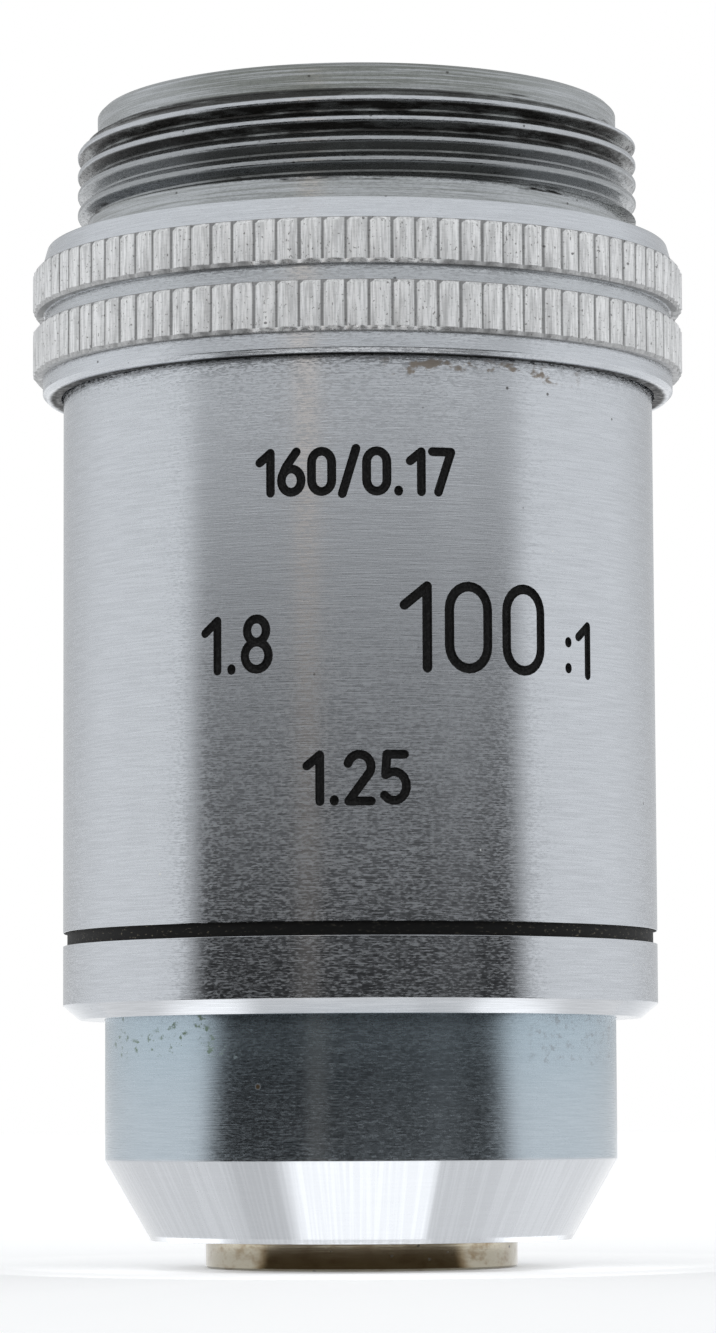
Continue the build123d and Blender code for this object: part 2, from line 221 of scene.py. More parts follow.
class StageSizes(bpy.types.PropertyGroup):
    """Camera, floor and light."""

    distance: length("Distance", "Camera's distance from the axis", 173.86)
    eye: length("Eye height", "Camera's height over the floor", 5.144)
    aside: length("Aside", "Camera's place to the right of the axis", -0.036)
    tilt: angle("Tilt", "How far the camera looks up", 5.365)
    roll: angle("Roll", "How far the camera is turned about its line of sight", -0.267)
    lens_mm: bpy.props.FloatProperty(name="Lens", description="Focal length in millimetres", default=130.97)
    floor_size: length("Floor", "Width of the floor", 4000)
    floor_tone: colour("Floor colour", "Pale floor", 0.92, 0.92, 0.92)
    floor_glow: share("Floor glow", "Light that comes up through the floor", 0.22)
    tent_tone: colour("Tent colour", "White tent round the object", 0.97, 0.985, 1.0)
    card_inner: length("Card inside", "Inner radius of the white card under the nose", 5.6)
    card_outer: length("Card outside", "Outer radius of that card", 20)
    cone_card_low: length("Cone card foot", "Radius of the cone's card at its foot", 7.62)
    cone_card_high: length("Cone card top", "Radius of the cone's card at its top", 9.17)
    apron_tone: colour("Apron colour", "Warm dim part of that card, close to the tip", 1.0, 0.74, 0.42)
    streak_tone: colour("Streak colour", "Warm streak on the dark screen", 1.0, 0.86, 0.74)
    screen_radius: length("Screen radius", "Distance of the dark screen round the lens", 60)
    screen_height: length("Screen height", "Height of that screen", 70)
    screen_foot: length("Screen foot", "Where its foot begins on the floor", 14)
    screen_turn: angle("Screen turn", "How far it reaches round to each side", 76)
    screen_edge: angle("Screen edge", "Where its soft side edges begin", 53)


SETTINGS = {
    "objective_mount": MountSizes,
    "objective_sleeve": SleeveSizes,
    "objective_nose": NoseSizes,
    "objective_finish": FinishColours,
    "objective_stage": StageSizes,
}


class Wire:
    """Output of a node that takes part in Python sums, each of which adds a Math node."""

    def __init__(self, shader, socket):
        self.shader = shader
        self.socket = socket

    def maths(self, operation, *values):
        return self.shader.node("ShaderNodeMath", {"operation": operation}, dict(enumerate(values)))

    def __add__(self, other):
        return self.maths("ADD", self, other)

    def __radd__(self, other):
        return self.maths("ADD", other, self)

    def __sub__(self, other):
        return self.maths("SUBTRACT", self, other)

    def __rsub__(self, other):
        return self.maths("SUBTRACT", other, self)

    def __mul__(self, other):
        return self.maths("MULTIPLY", self, other)

    def __rmul__(self, other):
        return self.maths("MULTIPLY", other, self)

    def __truediv__(self, other):
        return self.maths("DIVIDE", self, other)

    def __rtruediv__(self, other):
        return self.maths("DIVIDE", other, self)

    def __pow__(self, other):
        return self.maths("POWER", self, other)

    def __abs__(self):
        return self.maths("ABSOLUTE", self)

    def __or__(self, other):
        return self.maths("MAXIMUM", self, other)

    def __ror__(self, other):
        return self.maths("MAXIMUM", other, self)

    def ramp(self, low, high):
        """Smooth step from 0 at low to 1 at high."""
        if low > high:
            return 1 - self.ramp(high, low)
        settings = {"interpolation_type": "SMOOTHSTEP"}
        return self.shader.node("ShaderNodeMapRange", settings, {"Value": self, 1: low, 2: high})

    def band(self, low, high, soft):
        """1 between low and high, falling to 0 over a soft edge on each side."""
        return self.ramp(low - soft, low) * self.ramp(high + soft, high)


class Shader:
    """Nodes of one finish or of the light."""

    def __init__(self, tree):
        tree.nodes.clear()
        self.tree = tree

    def node(self, kind, settings=None, sockets=None, output=0):
        """Adds a node: its settings first, then the values or wires of its sockets."""
        node = self.tree.nodes.new(kind)
        for name, value in (settings or {}).items():
            setattr(node, name, value)
        for key, value in (sockets or {}).items():
            if isinstance(value, Wire):
                self.tree.links.new(value.socket, node.inputs[key])
            else:
                node.inputs[key].default_value = value
        return Wire(self, node.outputs[output]) if node.outputs else None

    def split(self, vector):
        """The three parts of a vector."""
        node = self.tree.nodes.new("ShaderNodeSeparateXYZ")
        self.tree.links.new(vector.socket, node.inputs[0])
        return [Wire(self, socket) for socket in node.outputs]

    def vector(self, x, y, z):
        return self.node("ShaderNodeCombineXYZ", None, {0: x, 1: y, 2: z})

    def noise(self, point, detail=2.0, roughness=0.5):
        """Noise whose cells are one unit of the point."""
        sockets = {"Vector": point, "Scale": 1.0, "Detail": detail, "Roughness": roughness}
        return self.node("ShaderNodeTexNoise", None, sockets)

    def mix(self, factor, first, second):
        return self.node("ShaderNodeMix", {"data_type": "RGBA"}, {0: factor, 6: first, 7: second}, 2)

    def scaled(self, tone, level):
        """Colour times a level, which may go past 1."""
        return self.node("ShaderNodeVectorMath", {"operation": "SCALE"}, {0: tone, "Scale": level})


def rgba(values, gain=1.0):
    """Colour with an alpha of 1."""
    return tuple(min(1.0, value * gain) for value in values) + (1.0,)


class Finish(Shader):
    """Material with a principled shader, patterned on Object coordinates in millimetres."""

    def __init__(self, name):
        self.material = bpy.data.materials.new(name)
        self.material.use_nodes = True
        super().__init__(self.material.node_tree)
        point = self.node("ShaderNodeTexCoord", output="Object")
        self.x, self.y, self.z = (part * (1 / MM) for part in self.split(point))
        self.radius = (self.x * self.x + self.y * self.y) ** 0.5
        self.turn = self.x.maths("ARCTAN2", self.x, -1 * self.y) * math.degrees(1)

    def cells(self, around, along):
        """Point whose unit cells are so many millimetres wide round the axis and high along it."""
        return self.vector(self.x * (1 / around), self.y * (1 / around), self.z * (1 / along))

    def grain(self, around, along, detail=2.0, roughness=0.5):
        """Noise in cells so many millimetres wide and high."""
        return self.noise(self.cells(around, along), detail, roughness)

    def specks(self, around, along, radius):
        """Round specks, one at most in each such cell, their radius a share of it."""
        sockets = {"Vector": self.cells(around, along), "Scale": 1.0}
        return self.node("ShaderNodeTexVoronoi", None, sockets).ramp(radius, radius * SPECK_CORE)

    def patch(self, turns, heights, soft_turn, soft_height):
        """Soft-edged patch between two angles round the axis and two heights."""
        return self.turn.band(*turns, soft_turn) * self.z.band(*heights, soft_height)

    def coats(self, base, *coats):
        """Lays coats over a base colour, each given by its mask, its colour and the colour's gain."""
        for mask, tone, gain in coats:
            base = self.mix(mask, base, rgba(tone, gain))
        return base

    def bump(self, height, depth):
        """Normal of a surface with so many millimetres of relief."""
        sockets = {"Height": height, "Strength": 1.0, "Distance": depth * MM}
        return self.node("ShaderNodeBump", None, sockets)

    def surface(self, **sockets):
        """Ends the material with its shader. Underscores in the names stand for spaces."""
        named = {name.replace("_", " "): value for name, value in sockets.items()}
        shader = self.node("ShaderNodeBsdfPrincipled", None, named)
        self.node("ShaderNodeOutputMaterial", None, {"Surface": shader})
        return self.material

    def glow(self, tone, level):
        """Ends the material as plain light."""
        light = self.scaled(tone, level)
        return self.surface(
            Base_Color=BLACK, Specular_IOR_Level=0.0, Emission_Color=light, Emission_Strength=1.0
        )


# Places of the marks on the object: degrees round the axis from the front, and heights in millimetres
STAIN_TURNS, STAIN_HEIGHTS = (8, 42), (30.55, 30.95)
GLOSS_HEIGHTS = (15, 10)
VERDIGRIS_TURNS, VERDIGRIS_HEIGHTS = (-68, -30), (7.5, 8.8)
SMUDGE_TURNS, SMUDGE_HEIGHTS = (44, 72), (7.3, 8.7)
# The first pair: heights over which painted shade grows towards the nose's top, under the sleeve
NOSE_SHADE_HEIGHTS, HAZE_HEIGHTS = (4.5, 8.8), (6.4, 8.6)
RUST_TURN, RUST_HEIGHT, RUST_REACH = -22.6, 6.35, (0.13, 0.06)
# The second pair: turns in front where the tooth ends get painted glints. The third: turns beyond which the
# painted shade on the thread and pilot is lighter
WORN_TURNS, GLINT_TURNS, ASIDE_TURNS = (38, 80), (-17, 13), (25, 50)
# Width of one degree round the nose, and number of ground lines round the cone
NOSE_DEGREE, GROUND_LINES = 0.159, 70
# Soft and crisp edges of the masks on the mount, in millimetres
SOFT, CRISP = 0.05, 0.02
KNURL_BANDS = ("lower_knurl", "upper_knurl")


def brushed(finish, colours, grain=0.18, grit=0.2):
    """Turned chrome: colour, roughness and relief of the fine lines that a lathe and emery leave.
    Grain and grit say how far the roughness varies in long and in short marks."""
    lines = finish.grain(1.6, 0.045, 2.0, 0.6)
    dashes = finish.grain(0.6, 0.04, 2.0, 0.6)
    clouds = finish.grain(4.0, 3.0, 2.0)
    chips = finish.grain(0.17, 0.055, 1.0)
    base = finish.mix(lines.ramp(0.3, 0.7), rgba(colours.chrome, 0.9), rgba(colours.chrome, 1.03))
    roughness = colours.chrome_gloss - 0.03 + (dashes.ramp(0.3, 0.7) - 0.5) * grain + clouds * 0.04
    roughness = roughness + (chips.ramp(0.35, 0.65) - 0.5) * grit
    return base, roughness, lines * 0.5 + dashes * 0.5


def sleeve_chrome(colours, sizes):
    """Chrome of the sleeve, with brown stains under the collar, a few specks and a smooth chamfer."""
    finish = Finish("sleeve chrome")
    base, roughness, relief = brushed(finish, colours, 0.18, 0.23)
    chamfer = (SLEEVE_LOW.z + sizes.chamfer_height) / MM
    plain = finish.z.ramp(chamfer + CRISP, chamfer - CRISP)
    blots = finish.grain(0.75, 0.45, 4.0, 0.6)
    stain = finish.patch(STAIN_TURNS, STAIN_HEIGHTS, 6, 0.2) * blots.ramp(0.5, 0.6)
    dirt = finish.specks(1.9, 1.9, 0.035)
    dust = finish.specks(2.3, 2.1, 0.024)
    base = finish.coats(
        base, (stain * 0.75, colours.stain, 1), (dirt * 0.8, colours.grime_and_shade, 6), (dust, colours.dust, 1)
    )
    roughness = roughness + stain * 0.25 - finish.z.ramp(*GLOSS_HEIGHTS) * 0.06
    roughness = roughness * (1 - plain) + plain * 0.17
    return finish.surface(
        Base_Color=base, Metallic=1 - (stain * 0.6 | dust * 0.8), Roughness=roughness,
        Anisotropic=0.75, Anisotropic_Rotation=LATHE, Normal=finish.bump(relief * (1 - plain), 0.006),
    )


def nose_chrome(colours, sizes):
    """Chrome of the nose: verdigris at its left, a smudge at its right, one rust dot, a ground cone."""
    finish = Finish("nose chrome")
    x, y, z = finish.x, finish.y, finish.z
    base, roughness, relief = brushed(finish, colours, 0.07, 0.07)
    cone_top = (NOSE_LOW.z + sizes.cone_height) / MM
    # Darker bluish tint over the nose above its cone, and painted shade growing towards its top under the
    # sleeve
    film_and_shade = z.ramp(cone_top - 0.04, cone_top + 0.11) * 0.35 + z.ramp(*NOSE_SHADE_HEIGHTS) * 0.2
    blots = finish.grain(0.35, 0.25, 4.0, 0.7)
    clusters = finish.grain(1.5, 0.9, 1.0).ramp(0.47, 0.56)
    green = finish.patch(VERDIGRIS_TURNS, VERDIGRIS_HEIGHTS, 8, 0.3) * clusters * blots.ramp(0.55, 0.65)
    smudge = finish.patch(SMUDGE_TURNS, SMUDGE_HEIGHTS, 8, 0.4) * blots.ramp(0.5, 0.7)
    across = (finish.turn - RUST_TURN) * NOSE_DEGREE
    along = z - RUST_HEIGHT
    rust = ((across * across + along * along) ** 0.5).ramp(*RUST_REACH)
    rays = finish.vector(x / finish.radius * GROUND_LINES, y / finish.radius * GROUND_LINES, z * 0.2)
    cone = z.ramp(cone_top + 0.01, cone_top - 0.06)
    ground = cone * finish.noise(rays, 1.0).ramp(0.4, 0.65)
    base = finish.coats(
        base,
        # Bluish tint, and painted shade towards the top
        (film_and_shade, colours.film_and_shade, 1),
        (cone * 0.8, colours.chrome, 0.98),
        (ground * 0.22, colours.chrome, 1.3),
        (green * 0.85, colours.verdigris, 0.6),
        (smudge * 0.6, colours.chrome, 0.4),
        (rust, colours.stain, 0.35),
    )
    haze = z.ramp(*HAZE_HEIGHTS) * 0.05
    return finish.surface(
        Base_Color=base, Metallic=1 - (green | rust) * 0.8, Roughness=roughness - 0.03 + green * 0.3 + haze,
        Anisotropic=0.75, Anisotropic_Rotation=LATHE, Normal=finish.bump(relief, 0.005),
    )


def mount_chrome(colours, sizes, heights):
    """Chrome of the mount: dulled pitted knurl, oily black thread, grey pilot and turned plain faces.
    Painted shade lies in the knurl's valleys, on its tooth ends at the sides, on the thread's flanks,
    on the pilot in front and in the joint; the tooth ends in front have painted glints.
    """
    finish = Finish("mount chrome")
    z, radius = finish.z, finish.radius
    base, roughness, relief = brushed(finish, colours)
    at = {name: value / MM for name, value in heights.items()}
    low, crest, groove = MOUNT_LOW.z / MM, MOUNT_HIGH.x / MM, at["groove_r"]
    foot, pilot, thread_r = at["thread"], at["pilot"], sizes.thread_radius / MM
    mouth = (SLEEVE_HIGH.x + sizes.collar_gap) / MM
    # Turns in front where the tooth ends get painted glints; elsewhere they get painted shade
    front_glint = finish.turn.band(*GLINT_TURNS, 3)
    # Sides of the mount, where the painted shade on the thread and the pilot is lighter
    aside = abs(finish.turn).ramp(*ASIDE_TURNS)

    # Knurl, with painted shade in its valleys, and painted glints on the teeth's ends in front with painted
    # shade on those ends at the sides
    knurl = z.band(at["lower_knurl"], at["knurl_top"], CRISP) * radius.ramp(groove + 0.02, groove + 0.08)
    ends = [z.band(at[name] - 0.05, at[name] + 0.12, CRISP) for name in KNURL_BANDS]
    glint = knurl * (ends[0] | ends[1])
    # Painted shade along the floor of each valley between the teeth
    valley_shade = knurl * (1 - glint) * radius.ramp(crest - 0.12, crest - 0.145)
    grain = finish.grain(0.08, 1.2, 3.0, 0.6)
    pits = finish.grain(0.09, 0.12, 2.0, 0.6).ramp(0.63, 0.7)
    matt = knurl - glint * (0.35 + front_glint * 0.4)

    # Darker grey pilot, neck and groove between the bands; on the pilot partly painted shade, darker in
    # front than at the sides
    streaks = finish.grain(4.0, 0.07, 3.0, 0.6)
    top = z.ramp(pilot - SOFT, pilot + SOFT)
    neck = z.band(at["shoulder"], foot, SOFT)
    between = z.band(at["groove"], at["upper_knurl"], SOFT) * (1 - knurl)
    # Painted shade on the pilot, darker in front than at the sides
    grey_and_shade = top * (0.45 + streaks.ramp(0.3, 0.6) * 0.55) * (1 - aside * 0.35)
    grey_and_shade = grey_and_shade | neck * (0.35 + streaks.ramp(0.4, 0.7) * 0.4) | between * 0.2

    # Thread, oily in its upper turns, with painted shade on its flanks that is darker in front and lighter
    # low down at both sides
    thread = z.band(foot, pilot, SOFT)
    flank = thread * radius.ramp(thread_r - 0.005, thread_r - 0.06)
    blots = finish.grain(2.2, 0.3, 4.0, 0.65)
    # Sides low down, where the painted shade and the oil are lighter
    lit_low_sides = aside * z.ramp(foot + 1.8, foot + 0.6)
    oil = flank * blots.ramp(0.3, 0.55) * (0.4 + z.ramp(foot + 0.6, foot + 1.8) * 0.6) * (1 - lit_low_sides * 0.7)
    crests = thread * (0.15 + z.ramp(foot + 2.6, foot + 0.6) * 0.4)
    # Painted shade on the thread's flanks and roots, less at the sides low down, and crests darker towards
    # the foot
    worn = flank * (0.8 - lit_low_sides * 0.5) | crests

    # Grime over the thread and at its two ends, and painted shade with grime on the collar's underside in
    # the joint with the sleeve
    ledge = z.band(pilot - 0.45, pilot + 0.04, SOFT) * blots.ramp(0.3, 0.5)
    ledge = ledge * radius.ramp(thread_r - 0.08, thread_r - 0.25)
    edge = z.band(foot - 0.1, foot + 0.1, 0.1) | z.band(pilot - 0.05, pilot + 0.15, 0.1)
    # Painted shade: black on the collar's underside next to the sleeve, where shade falls in the joint
    joint_shade = z.ramp(low + 0.03, low + 0.005) * radius.ramp(mouth + 0.5, mouth + 0.3)
    dirt = finish.specks(1.0, 0.8, 0.07)
    grime_and_shade = oil | ledge * 0.8 | edge * blots.ramp(0.55, 0.7) | joint_shade

    base = finish.coats(
        base,
        (knurl, colours.knurl, 0.9),
        (knurl * grain.ramp(0.35, 0.65), colours.knurl, 1.3),
        # Painted shade in the valleys
        (valley_shade * 0.8, colours.knurl, 0.25),
        # Painted glints on the tooth ends in front, and painted shade on those ends at the sides
        (glint * front_glint * 0.9, colours.knurl, 1.65),
        (glint * (1 - front_glint) * 0.55, colours.knurl, 0.3),
        (knurl * pits * 0.7, colours.grime_and_shade, 5),
        # Darker grey pilot, neck and groove, on the pilot partly painted shade
        (grey_and_shade, colours.dull_and_shade, 1),
        # Painted shade on the thread's flanks
        (worn, colours.dull_and_shade, 0.6),
        # Oil and dirt, with painted shade in the joint and, on the oil, in front
        (grime_and_shade, colours.grime_and_shade, 1),
        (dirt * 0.7, colours.grime_and_shade, 3),
    )
    height = relief * (1 - knurl) + knurl * (grain - pits * 0.8)
    return finish.surface(
        Base_Color=base, Metallic=1 - (oil * 0.4 | matt * 0.4 | top * 0.3),
        Roughness=roughness + matt * 0.33 + oil * 0.1 + joint_shade * 0.3 + top * 0.1,
        Anisotropic=0.5, Anisotropic_Rotation=LATHE, Normal=finish.bump(height, 0.005),
    )


def figure_paint(colours):
    """Black filling of the engraved figures."""
    finish = Finish("figure paint")
    grain = finish.grain(0.06, 0.06, 2.0)
    base = finish.mix(grain.ramp(0.4, 0.8), rgba(colours.paint), rgba(colours.paint, 5))
    return finish.surface(
        Base_Color=base, Roughness=0.55 + grain * 0.3, Specular_IOR_Level=0.2,
        Normal=finish.bump(grain, 0.01),
    )


def ring_paint(colours):
    """Black paint of the ring, worn through to bare metal in fine specks towards both sides."""
    finish = Finish("ring paint")
    flakes = finish.grain(0.2, 0.08, 3.0, 0.7)
    sides = abs(finish.turn).band(*WORN_TURNS, 20)
    worn = flakes.ramp(0.6, 0.68) * (0.15 + sides * 0.7)
    base = finish.mix(worn, rgba(colours.paint), rgba(colours.worn))
    return finish.surface(
        Base_Color=base, Metallic=worn * 0.7, Roughness=0.6 - worn * 0.2, Specular_IOR_Level=0.2,
        Normal=finish.bump(flakes, 0.006),
    )


def tip_nickel(colours):
    """Dull warm nickel of the tip, tarnished brown and specked."""
    finish = Finish("tip nickel")
    lines = finish.grain(2.5, 0.03, 3.0, 0.6)
    blots = finish.grain(0.9, 0.5, 4.0, 0.7)
    dirt = finish.specks(0.8, 0.5, 0.12)
    base = finish.mix(blots.ramp(0.45, 0.75), rgba(colours.nickel), rgba(colours.tarnish))
    base = finish.mix(dirt * 0.8, base, rgba(colours.grime_and_shade, 2))
    return finish.surface(
        Base_Color=base, Metallic=1 - dirt * 0.7, Roughness=0.1 + lines * 0.08 + blots * 0.06,
        Anisotropic=0.3, Anisotropic_Rotation=LATHE, Normal=finish.bump(lines, 0.0015),
    )


def turned_metal(name, tone, roughness):
    """Plain turned metal of the inner parts."""
    finish = Finish(name)
    lines = finish.grain(3.0, 0.05, 3.0, 0.6)
    base = finish.mix(lines.ramp(0.3, 0.7), rgba(tone, 0.8), rgba(tone, 1.1))
    return finish.surface(
        Base_Color=base, Metallic=1.0, Roughness=roughness - 0.05 + lines * 0.1,
        Anisotropic=0.5, Anisotropic_Rotation=LATHE, Normal=finish.bump(lines, 0.003),
    )


def blackened(colours):
    """Matt black of the inner faces."""
    finish = Finish("blackened brass")
    grain = finish.grain(0.15, 0.15, 3.0)
    base = finish.mix(grain, rgba(colours.black, 0.7), rgba(colours.black, 1.6))
    return finish.surface(Base_Color=base, Metallic=0.3, Roughness=0.55 + grain * 0.15)


def glass(name, tone, index):
    """Clear glass with a trace of dust."""
    finish = Finish(name)
    dust = finish.grain(0.4, 0.4, 3.0)
    return finish.surface(
        Base_Color=rgba(tone), Roughness=dust.ramp(0.5, 0.9) * 0.04, Transmission_Weight=1.0, IOR=index
    )


def new_piece(name, bm, materials, sharp=SMOOTH):
    """Object at the origin from a bmesh, smooth but for its sharp edges."""
    bmesh.ops.recalc_face_normals(bm, faces=bm.faces)
    mesh = bpy.data.meshes.new(name)
    bm.to_mesh(mesh)
    bm.free()
    for material in materials:
        mesh.materials.append(material)
    piece = bpy.data.objects.new(name, mesh)
    bpy.context.scene.collection.objects.link(piece)
    smooth(piece, sharp)
    return piece


def smooth(piece, sharp):
    """Smooth shading up to an angle in degrees."""
    piece.data.shade_smooth()
    piece.data.set_sharp_from_angle(angle=math.radians(sharp))


def dress(piece, body, node):
    """Makes a piece ride on its body in place of a solid."""
    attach(piece, body)
    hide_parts(node)


def join(bm, verts, closed=False):
    """Edges from each point to the next, and from the last to the first if closed."""
    following = verts[1:] + verts[:1] if closed else verts[1:]
    for pair in zip(verts, following):
        bm.edges.new(pair)


def spin(bm, turn, steps, rise=0.0, closed=False):
    """Spins a whole bmesh about the axis, with so much rise in each step."""
    bmesh.ops.spin(
        bm, geom=bm.verts[:] + bm.edges[:], cent=(0, 0, 0), axis=(0, 0, 1), dvec=(0, 0, rise),
        angle=turn, steps=steps, use_merge=closed,
    )


def close_ends(bm):
    """Fills the open ends of a bmesh."""
    bmesh.ops.holes_fill(bm, edges=[side for side in bm.edges if side.is_boundary])


def turned(corners, steps, edge, wall_cuts=0, hold=True):
    """Bmesh turned about the axis from (radius, height) corners, its edges eased by a small width.
    With hold, each long side gets a ring near both ends, so that its shading stays true. The longest
    outer wall is divided by so many cuts."""
    bm = bmesh.new()
    verts = [bm.verts.new((radius, 0, height)) for radius, height in corners]
    outline = []
    for first, last in zip(verts, verts[1:] + verts[:1]):
        side = last.co - first.co
        outline.append(first)
        if hold and side.length > HOLD_SIDE * edge:
            rest = side.normalized() * HOLD_STEP * edge
            outline += [bm.verts.new(first.co + rest), bm.verts.new(last.co - rest)]
    join(bm, outline, closed=True)
    bmesh.ops.bevel(
        bm, geom=verts, offset=edge, segments=2, profile=0.5, affect="VERTICES", material=-1
    )
    if wall_cuts:
        reach = max(vert.co.x for vert in bm.verts) - edge / 2
        outer = [side for side in bm.edges if all(vert.co.x > reach for vert in side.verts)]
        longest = max(outer, key=lambda side: side.calc_length())
        bmesh.ops.subdivide_edges(bm, edges=[longest], cuts=wall_cuts)
    spin(bm, 2 * math.pi, steps, closed=True)
    bmesh.ops.recalc_face_normals(bm, faces=bm.faces)
    return bm


def cut(piece, cutter):
    """Cuts a closed cutter out of a piece and deletes it. The new faces keep the cutter's finish."""
    modifier = piece.modifiers.new("cut", "BOOLEAN")
    modifier.operation = "DIFFERENCE"
    modifier.object = cutter
    modifier.solver = "MANIFOLD"
    modifier.material_mode = "TRANSFER"
    graph = bpy.context.evaluated_depsgraph_get()
    result = bpy.data.meshes.new_from_object(piece.evaluated_get(graph))
    if len(result.polygons) <= len(piece.data.polygons):
        raise RuntimeError(f"{cutter.name} cut nothing from {piece.name}")
    piece.modifiers.clear()
    piece.data = result
    bpy.data.meshes.remove(cutter.data)


def mount_heights(sizes):
    """Heights and radii of the mount, worked out from its box."""
    lower = MOUNT_LOW.z + sizes.collar_height
    groove = lower + sizes.lower_knurl
    upper = groove + sizes.knurl_gap
    knurl_top = upper + sizes.upper_knurl
    shoulder = knurl_top + sizes.shoulder_bevel
    thread = shoulder + sizes.neck_height
    return {
        "lower_knurl": lower,
        "groove": groove,
        "upper_knurl": upper,
        "knurl_top": knurl_top,
        "shoulder": shoulder,
        "thread": thread,
        "pilot": thread + sizes.thread_length,
        "groove_r": MOUNT_HIGH.x - sizes.knurl_root,
    }


def mount_blank(sizes, heights):
    """The mount before its knurl and thread are cut."""
    low, top = MOUNT_LOW.z, MOUNT_HIGH.z
    lower, knurl_top, groove_r = heights["lower_knurl"], heights["knurl_top"], heights["groove_r"]
    shoulder, thread, pilot = heights["shoulder"], heights["thread"], heights["pilot"]
    collar_r = MOUNT_HIGH.x - sizes.collar_drop
    mouth_r = SLEEVE_HIGH.x + sizes.collar_gap
    recess_r = SLEEVE_HIGH.x - sizes.recess_step
    thread_r = sizes.thread_radius
    neck_r = thread_r - sizes.neck_step
    pilot_r = thread_r - sizes.pilot_step
    shoulder_r = thread_r + sizes.shoulder_width
    relief_r = thread_r + sizes.relief_width
    relief_z = shoulder - sizes.relief_depth
    seat_z = low + sizes.seat_depth
    ceiling_z = seat_z + sizes.recess_depth
    bore_r = pilot_r - sizes.pilot_wall
    corners = (
        (mouth_r, low),
        (collar_r - sizes.collar_bevel, low),
        (collar_r, low + sizes.collar_bevel),
        (collar_r, lower),
        (groove_r, lower),
        (groove_r, knurl_top),
        (shoulder_r + sizes.shoulder_slope, knurl_top),
        (shoulder_r, shoulder),
        (relief_r, shoulder),
        (relief_r, relief_z),
        (neck_r, relief_z),
        (neck_r, thread),
        (thread_r, thread),
        (thread_r, pilot - sizes.thread_chamfer),
        (pilot_r, pilot),
        (pilot_r, top - sizes.pilot_chamfer),
        (pilot_r - sizes.pilot_chamfer, top),
        (bore_r, top),
        (bore_r, ceiling_z),
        (recess_r, ceiling_z),
        (recess_r, seat_z),
        (mouth_r, seat_z),
    )
    return turned(corners, TOOTH_STEPS * sizes.teeth, EDGE)


# Greatest share of a tooth's height that is worn off, and of its half width by which it leans
TOOTH_WEAR, TOOTH_LEAN = 0.25, 0.05


def add_knurl(bm, sizes, low, high, root, seed):
    """Adds a ring of knurl teeth, rolled up from a flat grid, each tooth a little unlike the next."""
    chance = random.Random(seed)
    pitch = 2 * math.pi / sizes.teeth
    base = sizes.tooth_base / 2 / MOUNT_HIGH.x
    crest = sizes.tooth_crest / 2 / MOUNT_HIGH.x
    floor_r = MOUNT_HIGH.x - sizes.tooth_depth
    edge_r = MOUNT_HIGH.x - sizes.tooth_crown
    arch_r = MOUNT_HIGH.x - sizes.tooth_crown / 4
    section = (
        (-base, floor_r), (-crest, edge_r), (-crest / 2, arch_r), (0, MOUNT_HIGH.x),
        (crest / 2, arch_r), (crest, edge_r), (base, floor_r),
    )
    inner = root - sizes.tooth_crown
    bevel = sizes.tooth_bevel
    levels = (
        (inner, low), (floor_r, low), (None, low + bevel), (None, high - bevel),
        (floor_r, high), (inner, high), (inner, low),
    )
    columns = sizes.teeth * len(section)
    rows = len(levels) - 1
    wear = [chance.uniform(0, TOOTH_WEAR) for _ in range(sizes.teeth)]
    lean = [chance.uniform(-TOOTH_LEAN, TOOTH_LEAN) * base for _ in range(sizes.teeth)]
    grid = bmesh.ops.create_grid(bm, x_segments=columns, y_segments=rows, size=0.5)
    for vert in grid["verts"]:
        column = round((vert.co.x + 0.5) * columns) % columns
        radius, height = levels[round((vert.co.y + 0.5) * rows)]
        tooth, point = divmod(column, len(section))
        offset, crest_r = section[point]
        turn = tooth * pitch + offset + lean[tooth]
        reach = radius or crest_r - (crest_r - floor_r) * wear[tooth]
        vert.co = (reach * math.cos(turn), reach * math.sin(turn), height)
    bmesh.ops.remove_doubles(bm, verts=grid["verts"], dist=WELD)


# Easing of the thread in metres, half width of its root as a share of its mouth's, and the part of
# a turn from the start of the cutter to the front
THREAD_EASING, ROOT_SHARE, FRONT_PART = 0.03 * MM, 0.22, 0.75
# Rounded shoulder of the thread: drop from the crest in easings, and share of the mouth's half width
THREAD_SHOULDER = ((3.3, 0.64), (1.7, 0.75), (0.5, 0.89), (0, 1), (-1, 1.02))


def thread_cutter(sizes):
    """Helical cutter of the thread, right-handed, with a rounded root and eased crests."""
    pitch = sizes.thread_pitch
    crest_r = sizes.thread_radius
    root_r = crest_r - sizes.thread_depth
    mouth = (pitch - sizes.crest_width) / 2
    root = mouth * ROOT_SHARE
    half = [(root_r, root / 2), (root_r + THREAD_EASING, root)]
    half += [(crest_r - drop * THREAD_EASING, mouth * part) for drop, part in THREAD_SHOULDER]
    front = MOUNT_HIGH.z - sizes.front_crest - pitch / 2
    turns = math.ceil(sizes.thread_length / pitch) + 2
    start = front - pitch * (turns - 2 + FRONT_PART)
    outline = [(radius, start - step) for radius, step in half]
    outline += [(radius, start + step) for radius, step in reversed(half)]
    bm = bmesh.new()
    verts = [bm.verts.new((radius, 0, height)) for radius, height in outline]
    join(bm, verts, closed=True)
    spin(bm, 2 * math.pi * turns, THREAD_STEPS * turns, pitch / THREAD_STEPS)
    close_ends(bm)
    return bm


